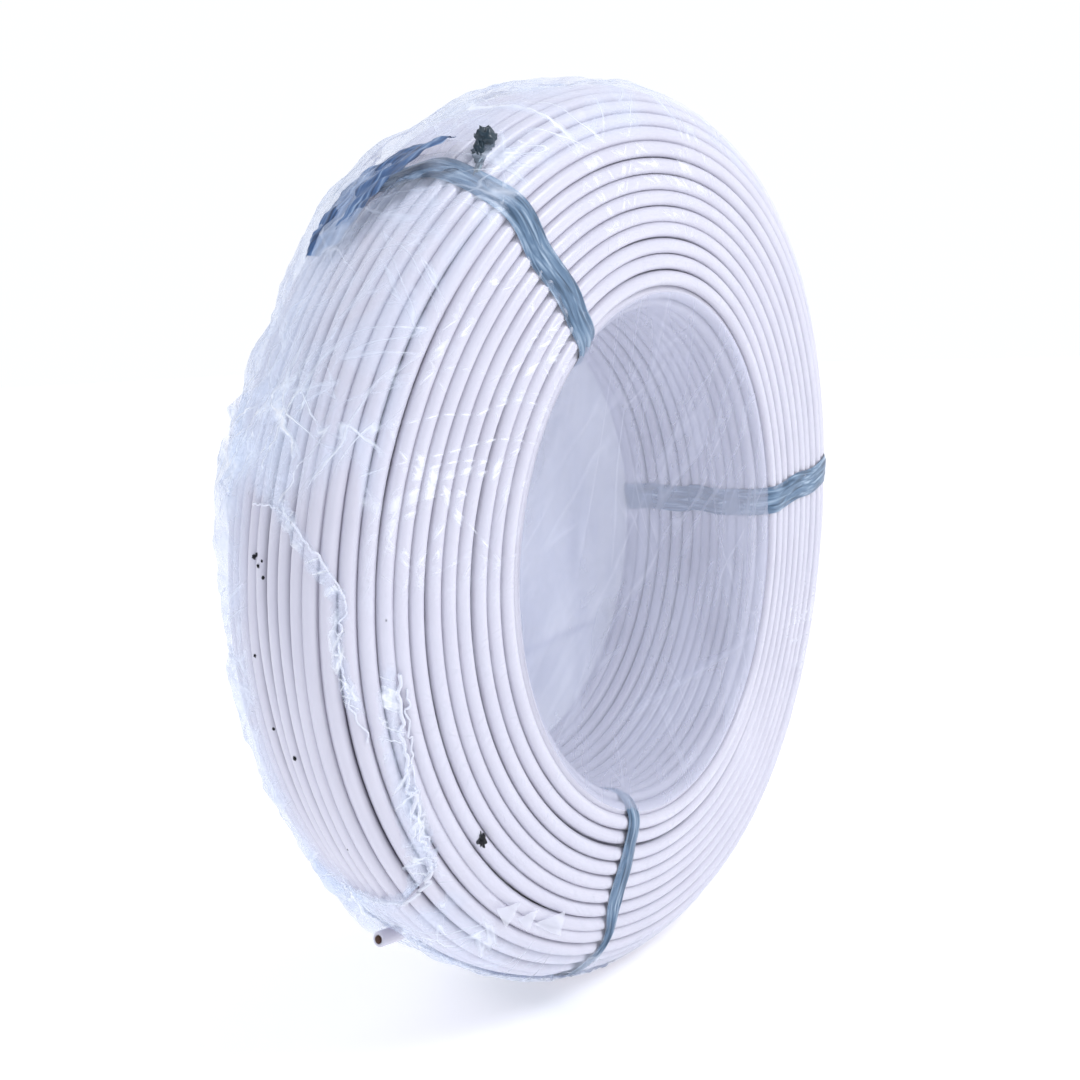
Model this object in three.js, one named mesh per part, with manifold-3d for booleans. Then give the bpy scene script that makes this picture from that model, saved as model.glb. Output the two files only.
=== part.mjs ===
// A coil of single-core cable, held by three plastic ties and wrapped in clear film.
// It stands on its rim: the coil's axis runs along Y, its front face looks along -Y, and +Z is up.
// The origin lies on the level floor, under the middle of the coil.

import * as THREE from 'three';
import { mergeVertices } from 'three/addons/utils/BufferGeometryUtils.js';
import Module from 'manifold-3d';

// Driving dimensions, in millimetres and degrees.
// An angle goes anticlockwise round the coil's axis, seen from the front, from the +X side.
const CABLE_DIAMETER = 3.7; // over the insulation
const TURNS_SHOWING = 50; // once round the winding's section
const GROOVE_DEPTH = 1.1; // how far the outline dips between two turns
// The winding isn't quite regular. Its section is a rounded hexagon, given here at the coil's right, top, left
// and bottom. Each corner has its distance from the axis and its distance in front of the middle.
// In order they are: the front edge of the bore, where the front face starts to slope to the rim, the front and
// the back edge of the rim's straight middle, where that slope meets the back face, and the back edge of the bore.
const SECTION_CORNERS = {
  right: [[62.5, 26.8], [111, 29.5], [117, 12], [116.5, -12], [104, -29], [62.5, -28.5]],
  top: [[66, 30.5], [112, 32], [120.2, 14], [119.5, -14], [110, -30], [66, -29.5]],
  left: [[65, 30], [104.5, 19.7], [112.3, 7.5], [110, -13], [101, -27.5], [65, -27.5]],
  bottom: [[64.5, 30], [108.5, 28], [114.3, 20], [114.3, -18], [108, -28], [64.5, -29]],
};
const SECTION_ROUNDING = [6.5, 9, 8, 8, 9, 6.5]; // how far each corner's curve starts from it
const FACETS = 36; // flat sides round the coil

const CLEARANCE = 0.3; // between two pieces that lie on each other

const TIE_WIDTH = 8;
const TIE_THICKNESS = 0.5;
const TIE_ANGLES = { side: 6, upper: 126, lower: 248 };
const TAIL = { angle: 24, width: 8, thickness: 0.3, back: 4 }; // the upper tie's free end, along the rim
const KNOT_RADIUS = 2.6;
const KNOT_FORWARD = 15; // from the middle of the rim towards the front face

const FILM_THICKNESS = 0.4; // a stand-in for the 0.05 mm of the real film
// The film is a sleeve shrunk over the coil. Its two open ends leave the rim bare at the left and at the right.
// The left one has slipped off the edge of the front face too. Each slice is cut from an inner radius outwards.
const SLEEVE_ENDS = [
  { from: 166, to: 190, inner: 90, front: 13.5, back: 12 },
  { from: 188, to: 213, inner: 100.5, front: 34, back: 12 },
  { from: -12, to: 32, inner: 90, front: 12, back: 12 },
];
const TEAR = { middle: 222.5, radius: 96, length: 34, width: 8 }; // in the front face
const HOLE_MARGIN = 1.2; // between the film and what pokes out of it

const CABLE_END = { angle: 226, back: 3, lift: 32, free: 9, rooted: 8 };

// Sizes that follow from the driving dimensions
const FACET_ANGLE = 360 / FACETS;
const TIE_INSIDE = CLEARANCE;
const TIE_OUTSIDE = TIE_INSIDE + TIE_THICKNESS;
const TIE_MIDDLE = (TIE_INSIDE + TIE_OUTSIDE) / 2;
const FILM_INSIDE = TIE_OUTSIDE + CLEARANCE;
const FILM_OUTSIDE = FILM_INSIDE + FILM_THICKNESS;
const BOTTOM_RADIUS = SECTION_CORNERS.bottom[2][0];
const CENTRE_HEIGHT = (BOTTOM_RADIUS + FILM_OUTSIDE) * Math.cos(THREE.MathUtils.degToRad(FACET_ANGLE / 2));
const FAR = 3 * BOTTOM_RADIUS; // past everything
const BORE_CLEAR = 85; // a radius between the bore wall and the rim

const CURVE_STEPS = 5; // straight pieces in each round edge of a section
const POINTS_PER_TURN = 3;
const CABLE_SIDES = 12;
const LONGEST_ROUNDING = 0.45; // of a section's side

const wasm = await Module();
wasm.setup();

const radians = THREE.MathUtils.degToRad;

// A closed three.js geometry becomes a solid that can be joined and cut.
function toSolid(geometry) {
  const bare = geometry.clone();
  bare.deleteAttribute('normal');
  bare.deleteAttribute('uv');
  const merged = mergeVertices(bare, 1e-4);
  const index = merged.getIndex().array;
  const triangles = [];
  for (let i = 0; i < index.length; i += 3) {
    const [a, b, c] = [index[i], index[i + 1], index[i + 2]];
    if (a !== b && b !== c && c !== a) triangles.push(a, b, c);
  }
  const mesh = new wasm.Mesh({
    numProp: 3,
    vertProperties: new Float32Array(merged.getAttribute('position').array),
    triVerts: new Uint32Array(triangles),
  });
  return new wasm.Manifold(mesh);
}

function toGeometry(solid) {
  const mesh = solid.getMesh();
  const geometry = new THREE.BufferGeometry();
  geometry.setAttribute('position', new THREE.BufferAttribute(mesh.vertProperties, 3));
  geometry.setIndex(new THREE.BufferAttribute(mesh.triVerts, 1));
  return geometry;
}

function namedMesh(name, geometry, finish) {
  geometry.computeVertexNormals();
  const mesh = new THREE.Mesh(geometry, new THREE.MeshStandardMaterial(finish));
  mesh.name = name;
  return mesh;
}

// The winding's section

// The six corners at an angle round the coil, between those at its four sides. X is the radius and Y runs along the
// axis, so a corner in front of the middle has a negative Y.
function sectionCorners(angle) {
  const { right, top, left, bottom } = SECTION_CORNERS;
  const [cos, sin, cosTwice] = [Math.cos(radians(angle)), Math.sin(radians(angle)), Math.cos(radians(2 * angle))];
  const between = (corner, part) => {
    const sides = [right, top, left, bottom].map((side) => side[corner][part]);
    const mean = (sides[0] + sides[1] + sides[2] + sides[3]) / 4;
    const across = (sides[0] - sides[2]) / 2;
    const upright = (sides[1] - sides[3]) / 2;
    const oval = (sides[0] - sides[1] + sides[2] - sides[3]) / 4;
    return mean + across * cos + upright * sin + oval * cosTwice;
  };
  return right.map((_, corner) => new THREE.Vector2(between(corner, 0), -between(corner, 1)));
}

// The rounded section at an angle, as a closed path from the middle of the bore wall
function sectionPath(angle) {
  const corners = sectionCorners(angle);
  const towards = (from, to, distance) => {
    const length = from.distanceTo(to);
    return from.clone().lerp(to, Math.min(distance / length, LONGEST_ROUNDING));
  };
  const path = new THREE.Path();
  const start = corners[0].clone().add(corners[5]).multiplyScalar(0.5);
  path.moveTo(start.x, start.y);
  corners.forEach((corner, i) => {
    const before = corners[(i + 5) % 6];
    const after = corners[(i + 1) % 6];
    const curveStart = towards(corner, before, SECTION_ROUNDING[i]);
    const curveEnd = towards(corner, after, SECTION_ROUNDING[i]);
    path.lineTo(curveStart.x, curveStart.y);
    path.quadraticCurveTo(corner.x, corner.y, curveEnd.x, curveEnd.y);
  });
  path.closePath();
  return path;
}

// The points moved out of the section by a distance, square to the outline.
function grown(ring, distance) {
  return ring.map((point, i) => {
    const before = ring[(i + ring.length - 1) % ring.length];
    const after = ring[(i + 1) % ring.length];
    const along = new THREE.Vector2().subVectors(after, before).normalize();
    return new THREE.Vector2(point.x + along.y * distance, point.y - along.x * distance);
  });
}

function smoothSection(angle) {
  return sectionPath(angle).getPoints(CURVE_STEPS).slice(0, -1);
}

// Each turn that shows is a ridge of three points: the groove before it and the two edges of its crest.
function ridgedSection(angle) {
  const crests = sectionPath(angle).getSpacedPoints(TURNS_SHOWING * POINTS_PER_TURN).slice(0, -1);
  const grooves = grown(crests, -GROOVE_DEPTH);
  return crests.map((point, i) => (i % POINTS_PER_TURN === 0 ? grooves[i] : point));
}

// Solids round the coil

// The angle of a corner between two flat sides. A flat side lies at the bottom, so its two corners have one section.
function cornerAngle(i) {
  return (i + 0.5) * FACET_ANGLE;
}

function sectionAngle(i) {
  return Math.abs(cornerAngle(i) - 270) < FACET_ANGLE ? 270 : cornerAngle(i);
}

// A point of the coil, from its angle, its radius and its place along the axis.
function onCoil(angle, radius, along) {
  return new THREE.Vector3(
    radius * Math.cos(radians(angle)), along, radius * Math.sin(radians(angle)),
  );
}

// The solid between the sections at all corners. Each section is a closed ring, or a line from the axis to the axis.
function swept(sectionFor) {
  const positions = [];
  const triangles = [];
  const sections = Array.from({ length: FACETS }, (_, i) => sectionFor(sectionAngle(i)));
  const count = sections[0].length;
  sections.forEach((section, i) => {
    section.forEach((point) => positions.push(...onCoil(cornerAngle(i), point.x, point.y)));
    const next = (i + 1) % FACETS;
    for (let j = 0; j < count; j += 1) {
      const above = (j + 1) % count;
      const [a, b, c, d] = [i * count + j, i * count + above, next * count + above, next * count + j];
      triangles.push(a, b, c, a, c, d);
    }
  });
  const geometry = new THREE.BufferGeometry();
  geometry.setAttribute('position', new THREE.Float32BufferAttribute(positions, 3));
  geometry.setIndex(triangles);
  return toSolid(geometry);
}

// How far a flat side lies inside the circle through its corners, at an angle, as a share of the radius.
function flatness(angle) {
  const fromMiddle = angle - FACET_ANGLE * Math.round(angle / FACET_ANGLE);
  return Math.cos(radians(FACET_ANGLE / 2)) / Math.cos(radians(fromMiddle));
}

// The place on the outer side of the winding at a distance along the axis, and the direction out of it there.
function outerPlace(angle, along) {
  const ring = smoothSection(angle);
  const moved = grown(ring, 1);
  const i = ring.findIndex((point, k) => (
    k > 0 && ring[k - 1].y < along && point.y >= along && point.x > BORE_CLEAR
  ));
  const share = (along - ring[i - 1].y) / (ring[i].y - ring[i - 1].y);
  const at = ring[i - 1].clone().lerp(ring[i], share);
  const out = moved[i].clone().sub(ring[i]);
  return {
    place: onCoil(angle, at.x * flatness(angle), along),
    out: onCoil(angle, out.x, out.y).normalize(),
  };
}

// A cylinder between two points, as a solid
function rod(from, to, radius) {
  const axis = new THREE.Vector3().subVectors(to, from);
  const geometry = new THREE.CylinderGeometry(radius, radius, axis.length(), CABLE_SIDES);
  const turn = new THREE.Quaternion().setFromUnitVectors(new THREE.Vector3(0, 1, 0), axis.clone().normalize());
  geometry.applyQuaternion(turn);
  geometry.translate(...from.clone().add(to).multiplyScalar(0.5));
  return toSolid(geometry);
}

// Coil

// The outer end of the cable leaves the rim at a slant, against the direction of winding.
function cableEndLine() {
  const root = outerPlace(CABLE_END.angle, CABLE_END.back).place;
  const out = onCoil(CABLE_END.angle, 1, 0);
  const round = onCoil(CABLE_END.angle - 90, 1, 0);
  const lift = radians(CABLE_END.lift);
  const direction = round.multiplyScalar(Math.cos(lift)).addScaledVector(out, Math.sin(lift));
  return {
    direction,
    start: root.clone().addScaledVector(direction, -CABLE_END.rooted),
    tip: root.clone().addScaledVector(direction, CABLE_END.free),
  };
}

function makeCoil() {
  const end = cableEndLine();
  return toGeometry(swept(ridgedSection).add(rod(end.start, end.tip, CABLE_DIAMETER / 2)));
}

// Ties

// A shell round the winding's section, between two distances from it
function shell(inside, outside) {
  const larger = swept((angle) => grown(smoothSection(angle), outside));
  return larger.subtract(swept((angle) => grown(smoothSection(angle), inside)));
}

// A flat band once round the winding's section is a slice of a shell.
function makeBand(angle) {
  const slice = new THREE.BoxGeometry(FAR, FAR, TIE_WIDTH);
  slice.translate(FAR / 2, 0, 0);
  slice.rotateY(-radians(angle));
  return shell(TIE_INSIDE, TIE_OUTSIDE).intersect(toSolid(slice));
}

// The free end of the upper tie lies along the rim, a little thinner than the band.
function makeTail() {
  const outline = new THREE.Shape();
  const [from, to] = [radians(TIE_ANGLES.upper), radians(TIE_ANGLES.upper + TAIL.angle)];
  outline.absarc(0, 0, FAR, from, to, false);
  outline.absarc(0, 0, BORE_CLEAR, to, from, true);
  outline.closePath();
  const slice = new THREE.ExtrudeGeometry(outline, {
    depth: TAIL.width, bevelEnabled: false, curveSegments: CURVE_STEPS,
  });
  slice.rotateX(Math.PI / 2);
  slice.translate(0, TAIL.back + TAIL.width / 2, 0);
  return shell(TIE_MIDDLE - TAIL.thickness / 2, TIE_MIDDLE + TAIL.thickness / 2).intersect(toSolid(slice));
}

function knotPlace() {
  const { place, out } = outerPlace(TIE_ANGLES.upper, -KNOT_FORWARD);
  return { middle: place.clone().addScaledVector(out, TIE_MIDDLE + KNOT_RADIUS), out };
}

function makeKnot() {
  const knot = new THREE.IcosahedronGeometry(KNOT_RADIUS, 1);
  knot.translate(...knotPlace().middle);
  return toSolid(knot);
}

// Film

// The section of the wrap from one side of the axis to the other, at a distance from the winding. It is stretched
// flat across both mouths of the bore, so it leaves out the bore wall and its two round edges.
const FIRST_ON_FACE = 1 + CURVE_STEPS;
const LAST_ON_FACE = 6 + 5 * CURVE_STEPS;
const mouthAlong = (corner) => {
  const sides = Object.values(SECTION_CORNERS);
  return -sides.reduce((sum, side) => sum + side[corner][1], 0) / sides.length;
};

function wrapSection(angle, distance) {
  const outside = smoothSection(angle).slice(FIRST_ON_FACE, LAST_ON_FACE + 1);
  const front = new THREE.Vector2(0, mouthAlong(0));
  const back = new THREE.Vector2(0, mouthAlong(5));
  const moved = grown([front, ...outside, back], distance);
  moved[0].set(0, front.y - distance);
  moved[moved.length - 1].set(0, back.y + distance);
  return moved;
}

// A slice of a thick ring, which passes right through the film at an open end of the sleeve
function sleeveEndCut({ from, to, inner, front, back }) {
  const outline = new THREE.Shape();
  outline.absarc(0, 0, FAR, radians(from), radians(to), false);
  outline.absarc(0, 0, inner, radians(to), radians(from), true);
  outline.closePath();
  const slice = new THREE.ExtrudeGeometry(outline, {
    depth: front + back, bevelEnabled: false, curveSegments: CURVE_STEPS,
  });
  slice.rotateX(Math.PI / 2);
  slice.translate(0, back, 0);
  return toSolid(slice);
}

// The tear in the front face: a slim eye shape that follows the turns.
function tearCut() {
  const eye = new THREE.Shape();
  eye.moveTo(-TEAR.length / 2, 0);
  eye.quadraticCurveTo(0, TEAR.width, TEAR.length / 2, 0);
  eye.quadraticCurveTo(0, -TEAR.width, -TEAR.length / 2, 0);
  const cut = new THREE.ExtrudeGeometry(eye, {
    depth: FAR, bevelEnabled: false, curveSegments: CURVE_STEPS,
  });
  cut.rotateX(Math.PI / 2);
  cut.translate(0, 0, TEAR.radius);
  cut.rotateY(radians(90 - TEAR.middle));
  return toSolid(cut);
}

function makeFilm() {
  const outside = swept((angle) => wrapSection(angle, FILM_OUTSIDE));
  const inside = swept((angle) => wrapSection(angle, FILM_INSIDE));
  const end = cableEndLine();
  const endHole = rod(
    end.start, end.tip.clone().addScaledVector(end.direction, CABLE_END.free),
    CABLE_DIAMETER / 2 + HOLE_MARGIN,
  );
  const { middle, out } = knotPlace();
  const knotHole = rod(
    middle.clone().addScaledVector(out, -KNOT_RADIUS), middle.clone().addScaledVector(out, 2 * KNOT_RADIUS),
    KNOT_RADIUS + HOLE_MARGIN,
  );
  const cuts = [...SLEEVE_ENDS.map(sleeveEndCut), tearCut(), endHole, knotHole];
  return toGeometry(cuts.reduce((film, cut) => film.subtract(cut), outside.subtract(inside)));
}

const cableFinish = { color: '#e6e5ee', roughness: 0.45, metalness: 0 };
const tieFinish = { color: '#7f9ab5', roughness: 0.5, metalness: 0 };
const filmFinish = { color: '#eef2fa', roughness: 0.12, metalness: 0, transparent: true, opacity: 0.3 };

const pack = new THREE.Group();
pack.add(namedMesh('cable_coil', makeCoil(), cableFinish));
for (const [place, angle] of Object.entries(TIE_ANGLES)) {
  const band = place === 'upper' ? makeBand(angle).add(makeTail()).add(makeKnot()) : makeBand(angle);
  pack.add(namedMesh(`tie_${place}`, toGeometry(band), tieFinish));
}
pack.add(namedMesh('wrapping_film', makeFilm(), filmFinish));
pack.position.z = CENTRE_HEIGHT;

// The uneven winding is centred by its box, so that the origin lies under the middle of the whole.
const middle = new THREE.Box3().setFromObject(pack).getCenter(new THREE.Vector3());
pack.position.x = -middle.x;
pack.position.y = -middle.y;

export default pack;
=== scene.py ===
# %% [markdown]
# A coil of single-core building wire stands on its rim. The wire is wound into about 180 turns,
# three plastic ribbons tie the winding, and a sleeve of thin clear film covers it.
# This lesson dresses the plain CAD ring: round turns that aren't quite regular, creased ribbons,
# and a film that is taut over the faces and gathered at the upper left.

# %% Load the frame
import math

import bpy
import numpy as np
from mathutils import Matrix, Vector, noise


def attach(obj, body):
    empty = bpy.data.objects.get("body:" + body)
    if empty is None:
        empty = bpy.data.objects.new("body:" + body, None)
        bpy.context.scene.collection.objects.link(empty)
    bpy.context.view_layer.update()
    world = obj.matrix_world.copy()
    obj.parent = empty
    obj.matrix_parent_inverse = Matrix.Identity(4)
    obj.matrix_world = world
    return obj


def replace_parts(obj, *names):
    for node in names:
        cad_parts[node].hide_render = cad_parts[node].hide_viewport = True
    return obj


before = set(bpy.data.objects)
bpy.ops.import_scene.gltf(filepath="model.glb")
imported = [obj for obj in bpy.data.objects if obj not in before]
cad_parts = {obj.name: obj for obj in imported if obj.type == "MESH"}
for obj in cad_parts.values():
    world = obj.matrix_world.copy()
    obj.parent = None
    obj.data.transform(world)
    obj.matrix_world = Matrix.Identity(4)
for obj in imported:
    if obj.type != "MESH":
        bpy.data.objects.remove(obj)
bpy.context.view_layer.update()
rng = np.random.default_rng(7)

# %% [markdown]
# Everything is placed by three numbers: an angle round the coil, a turn number round the section,
# and a lift above the turns. Angles run anticlockwise from the right, seen from the front.
# A coil wound by hand on a machine isn't quite regular, so the section is given at four angles.

# %% The four sections
MM = 0.001
AXIS_POINT = np.array([-3.07, 1.15, 115.36])
CABLE_DIAMETER = 3.72
TURNS = 50
TURN_NUMBERS = (0, 4, 7, 8, 10, 14, 18, 20, 22, 25, 29, 32, 36, 42, 43.5, 47)
SECTIONS = {
    "right": ((64, 0), (63, 13), (63, 23), (66.5, 25.5), (74, 26.5), (89, 28), (104, 27.5), (110, 24),
              (114, 17), (116, 6), (115, -10), (108, -22), (93, -26), (70, -26), (64, -24), (63, -12)),
    "top": ((67, 0), (67, 14), (67, 26), (70, 29), (78, 30), (93, 31), (108, 30), (114, 26),
            (117.5, 19), (119, 8), (118, -8), (111, -22), (96, -27), (73, -27), (68, -25), (67, -13)),
    "left": ((67, 0), (66, 14), (66, 25.5), (69.5, 27.4), (77, 26), (92, 22), (105, 16), (110, 10),
             (111, 3.5), (108.5, -8), (105, -20), (97, -25), (86, -26.5), (71, -26), (67, -24), (66, -12)),
    "bottom": ((66, 0), (65, 15), (65, 26.5), (68, 29), (76, 29), (91, 28), (105, 25), (111, 19),
               (113, 12), (113.2, 1), (112, -13), (105, -23), (90, -27), (71, -27), (66, -25), (65, -12)),
}


def eased(a, b, slope_a, slope_b, u):
    """A smooth step from a to b that leaves and arrives with the given slopes."""
    start = a * (2 * u**3 - 3 * u**2 + 1) + slope_a * (u**3 - 2 * u**2 + u)
    return start + b * (3 * u**2 - 2 * u**3) + slope_b * (u**3 - u**2)


def through(knots, values, at, period):
    """A smooth closed curve through the values, read at any turn number."""
    knots = np.asarray(knots, float)
    values = np.asarray(values, float)
    wrapped = np.concatenate([knots[-2:] - period, knots, knots[:2] + period])
    heights = np.concatenate([values[-2:], values, values[:2]])
    slopes = np.gradient(heights, wrapped)
    at = np.mod(at, period)
    i = np.clip(np.searchsorted(wrapped, at, side="right") - 1, 1, len(wrapped) - 3)
    width = wrapped[i + 1] - wrapped[i]
    u = (at - wrapped[i]) / width
    return eased(heights[i], heights[i + 1], slopes[i] * width, slopes[i + 1] * width, u)


def section_at(angle, turn):
    """Distance from the axis and distance forward of the middle, in mm, where turns lie."""
    rad = np.radians(angle)
    parts = []
    for axis in (0, 1):
        sides = {}
        for side, points in SECTIONS.items():
            sides[side] = through(TURN_NUMBERS, [p[axis] for p in points], turn, TURNS)
        mean = sum(sides.values()) / 4
        across = (sides["right"] - sides["left"]) / 2
        upright = (sides["top"] - sides["bottom"]) / 2
        oval = (sides["right"] + sides["left"] - sides["top"] - sides["bottom"]) / 4
        parts.append(mean + across * np.cos(rad) + upright * np.sin(rad) + oval * np.cos(2 * rad))
    return parts


def outward(angle, turn):
    """The section's outward direction there, as parts away from the axis and forward."""
    before = section_at(angle, turn - 0.5)
    after = section_at(angle, turn + 0.5)
    away, forward = after[0] - before[0], after[1] - before[1]
    length = np.hypot(away, forward)
    return -forward / length, away / length


CREST = CABLE_DIAMETER / 2
SUNK = 0.8


def on_winding(angle, turn, lift):
    """Points in metres at a lift, in mm, above the crests of the turns."""
    angle, turn = np.broadcast_arrays(np.asarray(angle, float), np.asarray(turn, float))
    r, h = section_at(angle, turn)
    away, forward = outward(angle, turn)
    height = CREST - SUNK + lift
    r = r + away * height
    h = h + forward * height
    rad = np.radians(angle)
    return (np.stack([r * np.cos(rad), -h, r * np.sin(rad)], -1) + AXIS_POINT) * MM


print("outer radius at the top, left and bottom:",
      [round(float(section_at(a, 25)[0]), 1) for a in (90.0, 180.0, 270.0)])

# %% [markdown]
# The camera stands close to the coil, a little above its middle, as the photograph's perspective says.

# %% The camera
AZIMUTH, ELEVATION, ROLL = math.radians(-56.2), math.radians(10.5), math.radians(-1.8)
DISTANCE = 0.317
FOCAL_PIXELS, PICTURE, MIDDLE_PIXEL = 1133, 1080, (585, 548)
back = Vector((math.sin(AZIMUTH) * math.cos(ELEVATION),
               -math.cos(AZIMUTH) * math.cos(ELEVATION),
               math.sin(ELEVATION)))
level = Vector((math.cos(AZIMUTH), math.sin(AZIMUTH), 0))
upright = back.cross(level)
right = level * math.cos(ROLL) + upright * math.sin(ROLL)
up = upright * math.cos(ROLL) - level * math.sin(ROLL)
place = Vector(AXIS_POINT * MM) + back * DISTANCE
lens = bpy.data.cameras.new("camera")
lens.sensor_width = 36
lens.lens = FOCAL_PIXELS * lens.sensor_width / PICTURE
lens.shift_x = -(MIDDLE_PIXEL[0] - PICTURE / 2) / PICTURE
lens.shift_y = (MIDDLE_PIXEL[1] - PICTURE / 2) / PICTURE
lens.clip_start = 0.01
camera = bpy.data.objects.new("camera", lens)
camera.matrix_world = Matrix.Translation(place) @ Matrix((right, up, back)).transposed().to_4x4()
bpy.context.scene.collection.objects.link(camera)
bpy.context.scene.camera = camera
print("camera at", [round(v, 3) for v in place], "lens", round(lens.lens, 1))

# %% [markdown]
# One helper adds a shader node with its settings and links, and one turns rows of points into a mesh.

# %% Helpers


def linear(hex_colour, alpha=1.0):
    """An sRGB hex colour as linear RGBA."""
    parts = [int(hex_colour[i:i + 2], 16) / 255 for i in (1, 3, 5)]
    return tuple(p / 12.92 if p <= 0.04045 else ((p + 0.055) / 1.055) ** 2.4 for p in parts) + (alpha,)


def add(tree, kind, settings=None, links=None):
    """Adds a node, sets its properties or inputs by name, and links other nodes' outputs to its inputs."""
    node = tree.nodes.new("ShaderNode" + kind)
    for name, value in (settings or {}).items():
        if isinstance(name, int) or name in node.inputs:
            node.inputs[name].default_value = value
        else:
            setattr(node, name, value)
    for name, (source, output) in (links or {}).items():
        tree.links.new(source.outputs[output], node.inputs[name])
    return node


def new_material(name):
    """An empty material and its tree."""
    material = bpy.data.materials.new(name)
    material.use_nodes = True
    material.node_tree.nodes.clear()
    return material, material.node_tree


def mesh_piece(name, points, faces, material, chart=None, **values):
    """A mesh object that rides on the coil.
    chart is each point's place on the piece, and values are stored on its points by name."""
    mesh = bpy.data.meshes.new(name)
    mesh.from_pydata([tuple(p) for p in points], [], [tuple(f) for f in faces])
    mesh.validate()
    mesh.shade_smooth()
    if chart is not None:
        corners = np.zeros(len(mesh.loops), np.int32)
        mesh.loops.foreach_get("vertex_index", corners)
        layer = mesh.uv_layers.new(name="chart")
        layer.data.foreach_set("uv", np.asarray(chart, np.float32).reshape(-1, 2)[corners].ravel())
    for value_name, numbers in values.items():
        layer = mesh.attributes.new(value_name, "FLOAT", "POINT")
        layer.data.foreach_set("value", np.asarray(numbers, np.float32).ravel())
    piece = bpy.data.objects.new(name, mesh)
    bpy.context.scene.collection.objects.link(piece)
    mesh.materials.append(material)
    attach(piece, "root")
    print("made", name, "with", len(mesh.polygons), "faces")
    return piece


def grid_faces(rows, columns, close_rows=False, close_columns=False, start=0):
    """Quads between rows of points, joined round where the grid closes."""
    row = np.arange(rows if close_rows else rows - 1)
    column = np.arange(columns if close_columns else columns - 1)
    row, column = np.meshgrid(row, column, indexing="ij")
    next_row, next_column = (row + 1) % rows, (column + 1) % columns
    corners = [row * columns + column, next_row * columns + column,
               next_row * columns + next_column, row * columns + next_column]
    return np.stack(corners, -1).reshape(-1, 4) + start


# %% [markdown]
# The insulation is extruded white PVC: smooth, satin, a trace of lavender from the studio's cool light.
# Faint cloudiness breaks the highlight, as handling and the talc on new wire do, and the grooves are darkened with
# painted shade.

# %% White PVC insulation
insulation, tree = new_material("white_pvc_insulation")
where = add(tree, "TexCoord")
cloud = add(tree, "TexNoise", {"Scale": 70.0, "Detail": 3.0}, {"Vector": (where, "Object")})
tone = add(tree, "MixRGB", {"Color1": linear("#DFDDE7"), "Color2": linear("#D3D1DD")},
           {"Fac": (cloud, "Fac")})
# Painted shade: the groove value mixes the insulation towards grey in the grooves.
groove = add(tree, "Attribute", {"attribute_name": "groove"})
tone = add(tree, "MixRGB", {"Color2": linear("#8C8998")},
           {"Fac": (groove, "Fac"), "Color1": (tone, "Color")})
fine = add(tree, "TexNoise", {"Scale": 900.0, "Detail": 2.0}, {"Vector": (where, "Object")})
bump = add(tree, "Bump", {"Strength": 0.06, "Distance": 0.0002}, {"Height": (fine, "Fac")})
skin = add(tree, "BsdfPrincipled", {"Roughness": 0.32, "IOR": 1.53},
           {"Base Color": (tone, "Color"), "Normal": (bump, "Normal")})
add(tree, "OutputMaterial", None, {"Surface": (skin, "BSDF")})

# %% [markdown]
# Each visible turn is a closed tube. Its height and its place in the row wander a little,
# and where the photograph shows brown-black gaps between turns, the neighbours are pushed apart.
# The ties press the turns down where they cross them.

# %% The turns
STEPS = 160
SIDES = 12
TURN_RADIUS = CABLE_DIAMETER / 2 + 0.06
SIDE_WANDER = 0.035
HEIGHT_WANDER = 0.1
TIE_PRESS = 0.45
TIE_PRESS_WIDTH = 2.2
angles = np.arange(STEPS) * 360 / STEPS
TIE_ANGLES = {"side": 6.0, "upper": 126.0, "lower": 249.0}
# Each gap: the groove's number, its start and end in degrees, and how far its neighbours part, in turns.
GAPS = ((24, 152, 186, 0.17), (25, 180, 206, 0.15), (22, 160, 184, 0.10), (20, 168, 184, 0.03),
        (15, 216, 234, 0.06), (17, 140, 168, 0.05), (18, 130, 160, 0.04))


def span(angle, start, end, soft=4.0):
    """One inside a range, falling softly to nothing outside it."""
    rise = np.clip((angle - start) / soft + 0.5, 0, 1)
    fall = np.clip((end - angle) / soft + 0.5, 0, 1)
    return rise * rise * (3 - 2 * rise) * fall * fall * (3 - 2 * fall)


def wander(size, waves):
    """A small closed wave round the coil, different for each turn."""
    total = np.zeros(STEPS)
    for wave in range(1, waves + 1):
        total += rng.normal() * np.cos(np.radians(angles) * wave + rng.uniform(0, 2 * np.pi)) / wave
    return total * size


def apart(angle, middle):
    """Degrees from an angle, the short way round."""
    return (angle - middle + 180) % 360 - 180


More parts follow.
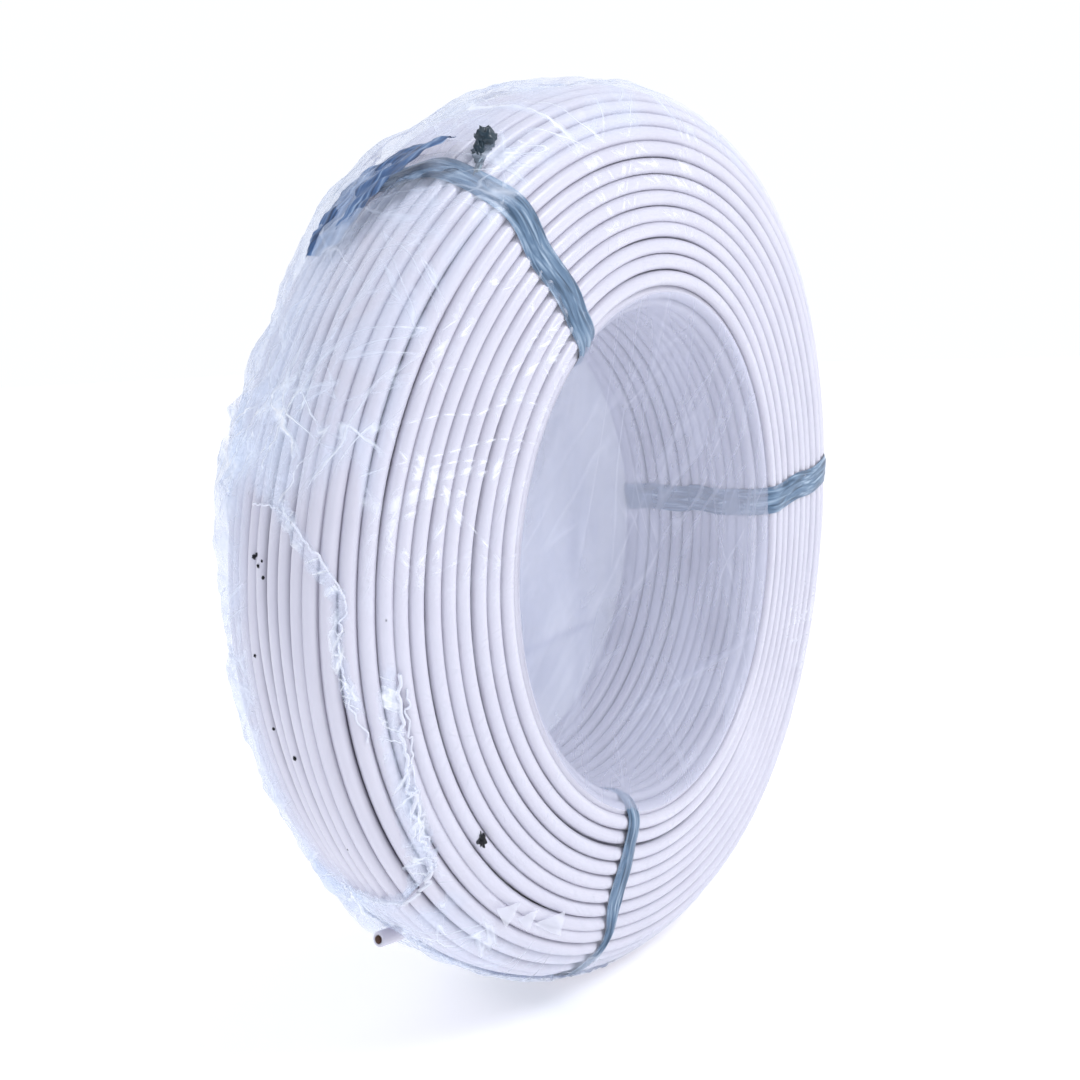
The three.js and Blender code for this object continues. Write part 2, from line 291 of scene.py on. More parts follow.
points, faces, shaded = [], [], []
ring_angle = np.arange(SIDES) * 2 * np.pi / SIDES
for turn in range(TURNS):
    at = turn + 0.5 + wander(SIDE_WANDER, 5)
    for groove, start, end, push in GAPS:
        side = 1 if turn + 0.5 > groove else -1
        near = max(0, 1 - (abs(turn + 0.5 - groove) - 0.5) / 4)
        at = at + side * near * push * span(angles, start, end, 18.0)
    lift = wander(HEIGHT_WANDER, 6)
    for middle in TIE_ANGLES.values():
        lift -= TIE_PRESS * np.exp(-(apart(angles, middle) / TIE_PRESS_WIDTH) ** 2)
    centre = on_winding(angles, at, lift - CREST)
    radial = np.stack([np.cos(np.radians(angles)), np.zeros(STEPS), np.sin(np.radians(angles))], -1)
    forward = np.array([0.0, -1.0, 0.0])
    ring = (radial[:, None, :] * np.cos(ring_angle)[None, :, None]
            + forward * np.sin(ring_angle)[None, :, None]) * TURN_RADIUS * MM
    away, ahead = outward(angles, at)
    facing = away[:, None] * np.cos(ring_angle) + ahead[:, None] * np.sin(ring_angle)
    # Painted shade in the grooves: darker where the tube faces inward, strongest at the left of the rim.
    groove_shade_weight = 0.45 + 0.5 * span(angles, 140, 215, 30) * span(turn, 14, 30, 6)
    shaded.append(np.clip((0.80 - facing) / 0.75, 0, 1) ** 1.3 * groove_shade_weight[:, None])
    faces.append(grid_faces(STEPS, SIDES, True, True, len(points) * STEPS * SIDES))
    points.append((centre[:, None, :] + ring).reshape(-1, 3))
cable_turns = mesh_piece("cable_turns", np.concatenate(points), np.concatenate(faces), insulation,
                         groove=np.concatenate(shaded))
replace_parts(cable_turns, "cable_coil")
print("turns drawn:", TURNS, "triangles:", 2 * TURNS * STEPS * SIDES)

# %% [markdown]
# Behind the turns lie the inner ones, painted as shade: pale grey in most grooves, and deep brown shade where turns
# part.

# %% The inner turns
CORE_STEPS = 180
CORE_DEPTH = 0.55
shade, tree = new_material("inner_turns_in_shade")
# Painted shade: grey inner turns that turn deep brown where the deep value marks parted turns.
deep = add(tree, "Attribute", {"attribute_name": "deep"})
tone = add(tree, "MixRGB", {"Color1": linear("#6E6A7A"), "Color2": linear("#2B211B")},
           {"Fac": (deep, "Fac")})
inner_shade_bsdf = add(tree, "BsdfPrincipled", {"Roughness": 0.8}, {"Base Color": (tone, "Color")})
add(tree, "OutputMaterial", None, {"Surface": (inner_shade_bsdf, "BSDF")})
core_angles, core_turns = np.meshgrid(np.arange(CORE_STEPS) * 2.0, np.arange(TURNS * 1.0), indexing="ij")
deep_share = span(core_angles, 140, 216, 16) * span(core_turns, 15, 28, 3)
deep_share = np.maximum(deep_share, span(core_angles, 208, 246, 8) * span(core_turns, 13, 17, 1.5))
core = mesh_piece("inner_turns", on_winding(core_angles, core_turns, -CREST - CORE_DEPTH).reshape(-1, 3),
                  grid_faces(CORE_STEPS, TURNS, True, True), shade, deep=deep_share)

# %% [markdown]
# The ties are flat polyethylene ribbon, slate blue, creased lengthwise where it was pulled tight.
# Pale streaks on its creases are painted highlights, dark ones painted shade; its chart runs along and across.

# %% Slate-blue ribbon
ribbon_stuff, tree = new_material("slate_blue_ribbon")
where = add(tree, "TexCoord")
along = add(tree, "VectorMath", {"operation": "MULTIPLY", 1: (0.35, 2.6, 1.0)}, {0: (where, "UV")})
crease_relief_and_highlight = add(tree, "TexNoise", {"Scale": 3.0, "Detail": 5.0, "Distortion": 0.5},
             {"Vector": (along, "Vector")})
# Painted highlight and shade: the ramp is pale on the creases' heights and dark in their hollows.
ramp = add(tree, "ValToRGB", None, {"Fac": (crease_relief_and_highlight, "Fac")})
ramp.color_ramp.elements[0].position = 0.36
ramp.color_ramp.elements[0].color = linear("#3E566E")
ramp.color_ramp.elements[1].position = 0.70
ramp.color_ramp.elements[1].color = linear("#A9BDD0")
middle_tone = ramp.color_ramp.elements.new(0.55)
middle_tone.color = linear("#64809C")
bump = add(tree, "Bump", {"Strength": 0.5, "Distance": 0.0006}, {"Height": (crease_relief_and_highlight, "Fac")})
plastic = add(tree, "BsdfPrincipled", {"Roughness": 0.33, "IOR": 1.5},
              {"Base Color": (ramp, "Color"), "Normal": (bump, "Normal")})
add(tree, "OutputMaterial", None, {"Surface": (plastic, "BSDF")})

# %% [markdown]
# Each tie goes once round the section. It could be a curve with a flat profile, but a grid of angle and turn
# follows the section by itself, and its creases can be lifted point by point.

# %% The three ties
TIE_STEPS = 200
TIE_ROWS = 13


def folded(spot):
    """Smooth creases between minus one and one."""
    return noise.noise(Vector(spot)) + 0.4 * noise.noise(Vector(spot) * 2.3)


def tie(name, middle, width, lean, pinch, seed):
    """A creased ribbon once round the section.
    lean turns its way across the face, and pinch narrows it at a turn."""
    turn = np.arange(TIE_STEPS) * TURNS / TIE_STEPS
    across = np.linspace(-1, 1, TIE_ROWS)
    r, h = section_at(np.full(TIE_STEPS, float(middle)), turn)
    narrow = 1 - pinch[1] * np.exp(-((turn - pinch[0]) / 2.5) ** 2)
    half = width / 2 * narrow / r * 180 / np.pi
    drift = lean * (r - 90) / 25 + 0.35 * np.sin(turn * 1.1 + seed)
    grid_angle = middle + drift[:, None] + half[:, None] * across[None, :]
    grid_turn = np.broadcast_to(turn[:, None], grid_angle.shape)
    crease = np.zeros(grid_angle.shape)
    for i in range(TIE_STEPS):
        way = turn[i] * 2 * math.pi / TURNS
        for j in range(TIE_ROWS):
            crease[i, j] = folded((across[j] * 2.6 + seed, math.cos(way) * 2.2, math.sin(way) * 2.2))
    lift = 0.25 + 0.5 * (crease + 0.5) - 0.45 * np.abs(across)[None, :] ** 3
    chart = np.stack([grid_turn * 0.38, np.broadcast_to(across, grid_turn.shape) * width / 20], -1)
    piece = mesh_piece(name, on_winding(grid_angle, grid_turn, np.maximum(lift, 0.05)).reshape(-1, 3),
                       grid_faces(TIE_STEPS, TIE_ROWS, True, False), ribbon_stuff, chart=chart)
    return piece


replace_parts(tie("ribbon_side", TIE_ANGLES["side"], 8.6, 0.8, (30, 0), 1.0), "tie_side")
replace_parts(tie("ribbon_upper", TIE_ANGLES["upper"], 7.8, 0.6, (20, 0.2), 5.0), "tie_upper")
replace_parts(tie("ribbon_lower", TIE_ANGLES["lower"], 6.2, 1.8, (17, 0.45), 9.0), "tie_lower")

# %% [markdown]
# The upper tie ends in a small hard knot with a short tail. Its long end lies folded over the rim in a
# crumpled loop under the film, deeper blue where it is doubled.

# %% The knot and the long end
# The knot and the long end keep these painted crease highlights and shades, in their own blues.
knot_stuff = ribbon_stuff.copy()
knot_stuff.name = "dark_knotted_ribbon"
for node in knot_stuff.node_tree.nodes:
    if node.type == "VALTORGB":
        for stop, colour in zip(node.color_ramp.elements, ("#1C2C36", "#2E4450", "#8CA3AE")):
            stop.color = linear(colour)
deep_stuff = ribbon_stuff.copy()
deep_stuff.name = "doubled_blue_ribbon"
for node in deep_stuff.node_tree.nodes:
    if node.type == "VALTORGB":
        for stop, colour in zip(node.color_ramp.elements, ("#2B4468", "#4A6E9E", "#A5BDD9")):
            stop.color = linear(colour)


def smooth_line(stations, count):
    """Points on a smooth open line through rows of numbers."""
    rows = np.asarray(stations, float)
    step = np.linspace(0, len(rows) - 1, count)
    slopes = np.gradient(rows, axis=0)
    i = np.minimum(step.astype(int), len(rows) - 2)
    u = (step - i)[:, None]
    return eased(rows[i], rows[i + 1], slopes[i], slopes[i + 1], u)


RIM_RADIUS, TURN_PITCH = 112, 3.8


def strip(name, stations, material, seed, crumple=0.6, rows=11, count=90):
    """A crumpled ribbon through stations of angle, turn, lift, width and the direction of its width."""
    line = smooth_line(stations, count)
    across = np.linspace(-1, 1, rows)
    angle, turn, lift, width, way = (line[:, k][:, None] for k in range(5))
    half = width / 2 * across[None, :]
    grid_angle = angle + half * np.cos(np.radians(way)) / RIM_RADIUS * 180 / np.pi
    grid_turn = turn + half * np.sin(np.radians(way)) / TURN_PITCH
    crease = np.array([[folded((across[j] * 1.8 + seed, i * 0.09, seed)) for j in range(rows)]
                       for i in range(count)])
    height = np.maximum(lift + crumple * crease, 0.1)
    chart = np.stack([np.broadcast_to(np.linspace(0, 3, count)[:, None], half.shape), half / 10], -1)
    piece = mesh_piece(name, on_winding(grid_angle, grid_turn, height).reshape(-1, 3),
                       grid_faces(count, rows), material, chart=chart)
    return piece


def lump(name, angle, turn, lift, size, material, seed, rough=0.35):
    """A small knotted lump of a given size in mm."""
    middle = on_winding(angle, turn, lift)
    mesh_points = []
    rings, spokes = 14, 20
    for i in range(rings + 1):
        for j in range(spokes):
            polar, round_angle = math.pi * i / rings, 2 * math.pi * j / spokes
            spot = Vector((math.sin(polar) * math.cos(round_angle),
                           math.sin(polar) * math.sin(round_angle),
                           math.cos(polar)))
            reach = 1 + rough * noise.noise(spot * 2.2 + Vector((seed, 0, 0)))
            reach += rough * 0.5 * noise.noise(spot * 5)
            mesh_points.append(middle + np.array(spot) * np.array(size) / 2 * reach * MM)
    piece = mesh_piece(name, mesh_points, grid_faces(rings + 1, spokes, False, True), material)
    return piece


lump("tie_knot", 121.6, 20.7, 1.6, (4.6, 4.0, 4.6), knot_stuff, 3.0, 0.7)
lump("tie_knot_lower", 123.4, 20.5, 0.7, (2.6, 2.4, 4.2), knot_stuff, 9.0, 0.8)
strip("tie_short_end", [(122.4, 20.4, 0.8, 2.6, 0), (124.2, 20.2, 0.6, 2.2, 10), (126.0, 19.8, 0.5, 3.2, 0)],
      knot_stuff, 4.0, 0.3, 7, 24)
strip("tie_long_end", [(123.5, 23.2, 3.0, 10, 75), (126.5, 23.5, 4.8, 15, 70), (130.5, 24.3, 5.2, 16, 70),
                       (134.5, 25.0, 4.4, 15, 70), (138.5, 25.8, 2.6, 9, 70)],
      deep_stuff, 7.0, 1.0)
strip("tie_folded_end", [(126.6, 21.2, 0.8, 4, 80), (128.6, 22.4, 2.2, 8, 75), (130.6, 22.9, 2.6, 7, 60)],
      ribbon_stuff, 12.0, 0.8, 9, 40)

# %% [markdown]
# The film is thin clear polyethylene. Taut, it only adds haze and small painted glints on the crests.
# Where it is gathered its folds stack up: they turn milky, and sharp creases show as white painted highlights.
# The strokes are thin bands of a noise that come and go, so no two creases are alike.

# %% Clear film


def glint_strokes(tree, chart, scale, width, cover, seed, lean):
    """Long white strokes of painted highlight that lean by an angle.
    They lie where a drawn-out noise crosses its middle, and are kept where a broader noise is high."""
    spot = add(tree, "Mapping", {"vector_type": "TEXTURE", "Rotation": (0, 0, math.radians(lean)),
                                 "Scale": (5.0, 1.0, 1.0), "Location": (seed, seed * 0.7, 0.0)},
               {"Vector": chart})
    lines = add(tree, "TexNoise", {"Scale": scale, "Detail": 1.5, "Distortion": 0.25},
                {"Vector": (spot, "Vector")})
    away = add(tree, "Math", {"operation": "SUBTRACT", 1: 0.5}, {0: (lines, "Fac")})
    away = add(tree, "Math", {"operation": "ABSOLUTE"}, {0: (away, "Value")})
    thin = add(tree, "MapRange", {"From Min": 0.0, "From Max": width, "To Min": 1.0, "To Max": 0.0},
               {"Value": (away, "Value")})
    broad = add(tree, "TexNoise", {"Scale": scale * 0.45, "Detail": 2.0, "Distortion": 0.4},
                {"Vector": (spot, "Vector")})
    kept = add(tree, "MapRange", {"From Min": cover, "From Max": cover + 0.08}, {"Value": (broad, "Fac")})
    return add(tree, "Math", {"operation": "MULTIPLY"}, {0: (thin, "Result"), 1: (kept, "Result")})


def film_material(name, tint, white, haze, cloudy, drawn, relief, stretch=(1.0, 1.0)):
    """Clear film: haze, drifting cloud, and white strokes of painted highlight as strong as the piece's gather
    value.
    """
    material, tree = new_material(name)
    where = add(tree, "TexCoord")
    stretched = add(tree, "VectorMath", {"operation": "MULTIPLY", 1: (*stretch, 1.0)}, {0: (where, "UV")})
    chart = (stretched, "Vector")
    gather = add(tree, "Attribute", {"attribute_name": "gather"})
    broad = glint_strokes(tree, chart, 1.3, 0.030, 0.47, 3.0, 62.0)
    fine_strokes = glint_strokes(tree, chart, 2.6, 0.045, 0.50, 11.0, 24.0)
    both = add(tree, "Math", {"operation": "MAXIMUM"}, {0: (broad, "Value"), 1: (fine_strokes, "Value")})
    crossing = glint_strokes(tree, chart, 2.2, 0.030, 0.52, 23.0, 128.0)
    both = add(tree, "Math", {"operation": "MAXIMUM"}, {0: (both, "Value"), 1: (crossing, "Value")})
    # Painted highlight: the crease strokes whiten the film's colour and raise its opacity.
    crease_glints = add(tree, "Math", {"operation": "MULTIPLY"}, {0: (both, "Value"), 1: (gather, "Fac")})
    crease_glints = add(tree, "Math", {"operation": "MULTIPLY", 1: drawn}, {0: (crease_glints, "Value")})
    cloud = add(tree, "TexNoise", {"Scale": 0.9, "Detail": 5.0, "Distortion": 0.8}, {"Vector": chart})
    drift = add(tree, "MapRange",
                {"From Min": 0.38, "From Max": 0.68, "To Min": haze, "To Max": haze + cloudy},
                {"Value": (cloud, "Fac")})
    milk = add(tree, "Attribute", {"attribute_name": "milk"})
    total = add(tree, "Math", {"operation": "ADD"}, {0: (drift, "Result"), 1: (milk, "Fac")})
    total = add(tree, "Math", {"operation": "ADD", "use_clamp": True},
                {0: (total, "Value"), 1: (crease_glints, "Value")})
    cover = add(tree, "Attribute", {"attribute_name": "cover"})
    total = add(tree, "Math", {"operation": "MULTIPLY"}, {0: (total, "Value"), 1: (cover, "Fac")})
    tone = add(tree, "MixRGB", {"Color1": linear(tint), "Color2": linear(white)}, {"Fac": (crease_glints, "Value")})
    bump = add(tree, "Bump", {"Strength": relief, "Distance": 0.0008}, {"Height": (both, "Value")})
    film = add(tree, "BsdfPrincipled", {"Roughness": 0.2, "IOR": 1.5},
               {"Base Color": (tone, "Color"), "Alpha": (total, "Value"), "Normal": (bump, "Normal")})
    add(tree, "OutputMaterial", None, {"Surface": (film, "BSDF")})
    return material


taut = film_material("taut_clear_film", "#E6EBFA", "#FFFFFF", 0.02, 0.08, 1.0, 0.03)
mouth_film = film_material("mouth_clear_film", "#C9CEE3", "#F4F6FF", 0.33, 0.10, 0.2, 0.1, (0.5, 0.3))
# The back skin's grey lavender tint is painted shade, the tone the milky film takes in the shaded bore.
milky = film_material("milky_back_film_in_shade", "#B4BAD4", "#FFFFFF", 0.74, 0.10, 0.1, 0.1, (0.5, 0.25))
gathered = film_material("gathered_film", "#DDEAFF", "#FFFFFF", 0.05, 0.26, 0.85, 0.35)

# %% [markdown]
# Across each mouth of the bore the film is a flat skin. It meets the crests of the innermost turns, so it
# bends a little with them, and one long fold crosses its lower part.

# %% The two mouths of the sleeve
SPOKES = 200
MOUTH_ROWS = 60
# The turn numbers of the innermost crests, where the skins over the bore end and the faces begin.
FRONT_EDGE_TURN, BACK_EDGE_TURN = 7.8, 43.0
# The long fold's two ends, in mm right of and above the coil's middle.
FOLD = ((-28.0, -36.0), (46.0, -34.0))


def mouth(name, edge_turn, material, fold_size):
    """A skin across the bore that meets the crest of the innermost turns, with one fold."""
    around = np.arange(SPOKES) * 360 / SPOKES
    edge = on_winding(around, np.full(SPOKES, edge_turn), 0.15)
    middle = edge.mean(0)
    share = np.linspace(0.001, 1, MOUTH_ROWS)[:, None]
    skin_points = middle + (edge - middle)[None] * share[..., None]
    skin_points[..., 1] = middle[1] + (edge[None, :, 1] - middle[1]) * share ** 2
    x, z = skin_points[..., 0] / MM - AXIS_POINT[0], skin_points[..., 2] / MM - AXIS_POINT[2]
    start, end = np.array(FOLD[0]), np.array(FOLD[1])
    way = (end - start) / np.hypot(*(end - start))
    beside = (x - start[0]) * -way[1] + (z - start[1]) * way[0]
    inside = span((x - start[0]) * way[0] + (z - start[1]) * way[1], 0, np.hypot(*(end - start)), 20)
    ridge = np.exp(-(beside / 1.2) ** 2) * inside
    below = np.exp(-((beside + 7) / 6) ** 2) * inside
    skin_points[..., 1] -= ridge * fold_size * MM
    chart = np.stack([x / 10, z / 10], -1)
    piece = mesh_piece(name, skin_points.reshape(-1, 3), grid_faces(MOUTH_ROWS, SPOKES, False, True),
                       material, chart=chart, gather=np.full(x.shape, 0.4),
                       milk=ridge * 0.10 + below * 0.05, cover=np.ones(x.shape))
    return piece


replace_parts(mouth("film_mouth_front", FRONT_EDGE_TURN, mouth_film, 0.8), "wrapping_film")
mouth("film_mouth_back", BACK_EDGE_TURN, milky, 0.0)

# %% [markdown]
# Film that follows the winding is a grid of angle and turn, lifted off the crests.
# Its chart is in centimetres along and across the turns, so the creases have their real size.

# %% The film over the faces
CM_PER_DEGREE = 0.18
CM_PER_TURN = 0.38


def without_bounces(piece):
    """Clear film right on the turns hardly shades them, so light that bounces there passes it: a quicker render."""
    piece.visible_shadow = False
    piece.visible_diffuse = False


def film_sheet(name, start, end, first, last, columns, rows, height, material, gather, milk, closed=False,
               ragged=0.0, fade=0.0):
    """Film over the turns. height, gather and milk are functions of the angle and the turn.
    ragged moves its two ends by some degrees from turn to turn, and fade thins it out towards them."""
    around = np.linspace(start, end, columns, endpoint=not closed)
    grid_turn, grid_angle = np.meshgrid(np.linspace(first, last, rows), around, indexing="ij")
    cover = np.ones(grid_angle.shape)
    if ragged:
        unrest = np.array([noise.noise(Vector((t * 0.55, start, 3.0)))
                           + 0.5 * noise.noise(Vector((t * 1.9, start, 7.0))) for t in grid_turn[:, 0]])
        share = (grid_angle - start) / (end - start)
        grid_angle = grid_angle + ragged * unrest[:, None] * (2 * share - 1) ** 4 * np.sign(share - 0.5)
        cover = span(share * (end - start), fade / 2, end - start - fade / 2, fade)
        cover = cover * (0.25 + 0.75 * span(grid_turn, first + 0.5, last + 9, 1.0))
    chart = np.stack([grid_angle * CM_PER_DEGREE, grid_turn * CM_PER_TURN], -1)
    piece = mesh_piece(name, on_winding(grid_angle, grid_turn, height(grid_angle, grid_turn)).reshape(-1, 3),
                       grid_faces(rows, columns, False, closed), material, chart=chart,
                       gather=gather(grid_angle, grid_turn), milk=milk(grid_angle, grid_turn), cover=cover)
    without_bounces(piece)
    return piece


def on_crests(turn):
    """One on the crests of the turns and nothing in the grooves."""
    return 0.5 - 0.5 * np.cos(2 * np.pi * turn)


def glinting(angle, turn):
    """Where painted glints lie on the film's crests over the face: upper left, top, and a little at the lower
    right.
    """
    place = span(angle, 128, 172, 20) * span(turn, 9, 17, 4)
    place = np.maximum(place, 0.9 * span(angle, 84, 116, 16) * span(turn, 12, 19, 4))
    place = np.maximum(place, 0.4 * span(angle, 320, 345, 16) * span(turn, 12, 19, 4))
    return (0.12 + 0.88 * place) * on_crests(turn)


film_sheet("film_face_front", 0, 360, FRONT_EDGE_TURN, 18.3, 480, 130,
           lambda angle, turn: 0.12 + 0.14 * on_crests(turn), taut, glinting,
           lambda angle, turn: 0.04 * on_crests(turn), closed=True)
film_sheet("film_face_back", 0, 360, 31.5, BACK_EDGE_TURN, 240, 60,
           lambda angle, turn: np.full(turn.shape, 0.2), taut, glinting,
           lambda angle, turn: np.full(turn.shape, 0.05), closed=True)

# %% [markdown]
# Over the rim the sleeve is loose. It stands off the turns in soft folds, most of all round the long end
# of the upper tie, and it is drawn together towards the left where the rim is bare.
# Cloth simulation could make such folds, but noise keeps each fold where the photograph has it.

# %% The loose film over the rim
# A range that ends here reaches past the last turn, so only its start shows.
PAST_LAST_TURN = 60


def fold_height(angle, turn, seed):
    """Folds of about a centimetre with finer ones on them, from nothing to about one."""
    total = np.zeros(angle.shape)
    for index in np.ndindex(angle.shape):
        spot = Vector((angle[index] * 0.15, turn[index] * 0.30, seed))
        total[index] = (0.5 + 0.5 * noise.noise(spot) + 0.22 * noise.noise(spot * 2.7)
                        + 0.12 * noise.noise(spot * 6.1))
    return np.clip(total, 0, 1.3)


def top_height(angle, turn):
    off = 0.3 + 2.6 * fold_height(angle, turn, 1.0) * span(angle, 84, 170, 26)
    off += 4.2 * np.exp(-(apart(angle, 129) / 9) ** 2 - ((turn - 26) / 4) ** 2)
    off += 2.0 * np.exp(-(apart(angle, 112) / 7) ** 2 - ((turn - 24) / 5) ** 2)
    taut_edge = span(turn, 18.2, PAST_LAST_TURN, 3)
    return 0.3 + (off - 0.3) * taut_edge * span(angle, 36, 163, 8)


def top_gather(angle, turn):
    near_gather = np.exp(-(apart(angle, 162) / 8) ** 2)
    near_tail = np.exp(-(apart(angle, 112) / 12) ** 2)
    strong = 0.38 + 0.62 * np.maximum(near_gather, near_tail)
    over_tie = 1 - 0.6 * np.exp(-(apart(angle, 129) / 8) ** 2 - ((turn - 22.5) / 5) ** 2)
    return strong * over_tie * span(turn, 17, PAST_LAST_TURN, 2) * span(angle, 60, 170, 40)


def top_milk(angle, turn):
    clear_over_tie = 1 - 0.7 * np.exp(-(apart(angle, 129) / 8) ** 2 - ((turn - 23.5) / 4) ** 2)
    cloudy = 0.03 + 0.24 * span(turn, 23.5, 40, 4)
    return cloudy * span(turn, 17, PAST_LAST_TURN, 2) * span(angle, 80, 170, 30) * clear_over_tie


film_sheet("film_rim_top", 32, 166, 17.2, 34, 400, 110, top_height, gathered, top_gather, top_milk,
           ragged=7.0, fade=5.0)


def low_height(angle, turn):
    off = 0.3 + 1.6 * fold_height(angle, turn, 8.0) * span(angle, 200, 262, 20)
    resting = 1 - 0.8 * np.exp(-(apart(angle, 270) / 14) ** 2)
    return 0.3 + (off - 0.3) * span(turn, 18.2, PAST_LAST_TURN, 3) * resting


film_sheet("film_rim_low", 213, 348, 17.2, 34, 400, 90, low_height, gathered,
           lambda angle, turn: ((0.35 + 0.5 * np.exp(-(apart(angle, 220) / 10) ** 2))
                                * span(turn, 17, PAST_LAST_TURN, 2)),
           lambda angle, turn: 0.14 * span(turn, 19, 40, 5) * span(angle, 200, 275, 20),
           ragged=6.0, fade=3.0)

# %% [markdown]
# Behind the bare stretch the sleeve still covers the back of the rim, and below it hangs in a short skirt.
# Where it is drawn together at the left, its folds stand a few millimetres off the turns.

# %% The film behind the bare stretch, and the skirt


def back_height(angle, turn):
    off = 0.4 + 3.0 * fold_height(angle, turn, 21.0)
    off += 2.2 * np.exp(-(apart(angle, 163) / 5) ** 2)
    return 0.3 + (off - 0.3) * span(turn, 26.4, PAST_LAST_TURN, 2.5)


film_sheet("film_rim_back", 158, 226, 25.6, 34, 220, 60, back_height, gathered,
           lambda angle, turn: 0.45 + 0.55 * np.exp(-(apart(angle, 163) / 6) ** 2),
           lambda angle, turn: 0.22 * span(turn, 26.4, PAST_LAST_TURN, 3), ragged=4.0, fade=4.0)


def skirt_height(angle, turn):
    off = 0.5 + 2.2 * fold_height(angle, turn, 31.0)
    off += 2.4 * np.exp(-(apart(angle, 226) / 8) ** 2 - ((turn - 28) / 3) ** 2)
    return 0.3 + (off - 0.3) * span(turn, 21.5, PAST_LAST_TURN, 3) * span(angle, 212, 262, 10)


film_sheet("film_skirt", 210, 264, 20.8, 33, 180, 70, skirt_height, gathered,
           lambda angle, turn: 0.8 * span(turn, 20.8, PAST_LAST_TURN, 1),
           lambda angle, turn: 0.12 * span(turn, 21.5, PAST_LAST_TURN, 2),
           ragged=5.0, fade=4.0)


def gather_height(angle, turn):
    off = 0.6 + 3.4 * fold_height(angle * 2.2, turn * 1.4, 41.0)
    return 0.3 + (off - 0.3) * span(angle, 152, 168, 6) * span(turn, 20, 34, 3)


film_sheet("film_gather_left", 150, 168, 20.5, 34, 160, 120, gather_height, gathered,
           lambda angle, turn: span(angle, 153, 172, 8) * span(turn, 20.5, 36, 3),
           lambda angle, turn: 0.12 * span(angle, 157, 168, 6) * span(turn, 21.5, 40, 3),
           ragged=9.0, fade=6.0)

# %% [markdown]
# The wire's outer end pokes out at the lower left: insulation cut square, with the dark copper inside.
# Its conductor is drawn, stranded copper that air has dulled, so it is brown and only half shiny.

# %% The cable's end
copper, tree = new_material("dull_copper_strands")
strands = add(tree, "BsdfPrincipled", {"Base Color": linear("#4A3328"), "Metallic": 0.6, "Roughness": 0.5})
add(tree, "OutputMaterial", None, {"Surface": (strands, "BSDF")})
END_ANGLE, END_TURN, END_LIFT, END_FREE, END_ROOTED = 226.0, 24.4, 32.0, 9.0, 8.0
root = on_winding(END_ANGLE, END_TURN, 0.0)
out_way = np.array([math.cos(math.radians(END_ANGLE)), 0, math.sin(math.radians(END_ANGLE))])
round_way = np.array([math.cos(math.radians(END_ANGLE - 90)), 0, math.sin(math.radians(END_ANGLE - 90))])
end_way = round_way * math.cos(math.radians(END_LIFT)) + out_way * math.sin(math.radians(END_LIFT))
side_way = np.cross(end_way, np.array([0, 1.0, 0]))
END_SIDES = 24
SHEATH_RADIUS, CORE_RADIUS = 1.85, 0.98
spin = np.arange(END_SIDES) * 2 * np.pi / END_SIDES
rim_ring = side_way[None] * np.cos(spin)[:, None] + np.array([[0, 1.0, 0]]) * np.sin(spin)[:, None]


def end_rings(stations):
    """Rings of given distance along the end and radius, in mm."""
    return np.concatenate([root + end_way * d * MM + rim_ring * r * MM for d, r in stations])


stations = [(-END_ROOTED, SHEATH_RADIUS), (END_FREE - 0.4, SHEATH_RADIUS), (END_FREE, 1.65),
            (END_FREE, 1.0), (END_FREE - 0.5, CORE_RADIUS)]
cable_end = mesh_piece("cable_end", end_rings(stations),
                       grid_faces(len(stations), END_SIDES, False, True), insulation)
stations = [(END_FREE - 1.0, CORE_RADIUS), (END_FREE + 0.2, 0.95),
            (END_FREE + 0.3, 0.6), (END_FREE + 0.3, 0.01)]
core_end = mesh_piece("copper_end", end_rings(stations),
                      grid_faces(len(stations), END_SIDES, False, True), copper)

# %% [markdown]
# At the tear in the face film small pointed flaps stand up, and a crumb of dark dirt sits in its tip.
# A few specks of workshop dirt lie on the bare turns. Dirt is matt, and torn film is clear but turns white
# where it was stretched.

# %% Dirt and flaps at the tear
dirt, tree = new_material("dark_dirt")
grime = add(tree, "BsdfPrincipled", {"Base Color": linear("#15171C"), "Roughness": 0.7})
add(tree, "OutputMaterial", None, {"Surface": (grime, "BSDF")})
lump("dirt_at_tear", 212.0, 14.45, 0.1, (1.8, 1.6, 2.6), dirt, 2.0, 0.9)
SPECKS = ((171.5, 25.1, 0.7), (171.2, 24.8, 0.5), (172.4, 24.6, 0.5), (173.5, 24.0, 0.5), (171.8, 24.2, 0.4),
          (182.5, 25.5, 0.5), (191.0, 24.9, 0.5), (193.5, 23.2, 0.6), (177.5, 16.5, 0.4), (205.0, 21.6, 0.4))
for number, (angle, turn, size) in enumerate(SPECKS):
    lump(f"speck_{number + 1}", angle, turn, -0.05, (size, size, size * 1.3), dirt,
         number * 3.0, 0.9)
white_flap, tree = new_material("torn_film_flap")
torn = add(tree, "BsdfPrincipled",
           {"Base Color": linear("#F2F4FC"), "Roughness": 0.25, "IOR": 1.5, "Alpha": 0.5})
add(tree, "OutputMaterial", None, {"Surface": (torn, "BSDF")})


def flap(name, corners):
    """A small triangle of torn film between three places of angle, turn and lift."""
    rows = 8
    a, b, c = (np.array(corner, float) for corner in corners)
    places = np.array([a + (b - a) * u * (1 - v) + (c - a) * v * u
                       for u in np.linspace(0.02, 1, rows) for v in np.linspace(0, 1, rows)])
    piece = mesh_piece(name, on_winding(places[:, 0], places[:, 1], places[:, 2]),
                       grid_faces(rows, rows), white_flap)
    return piece


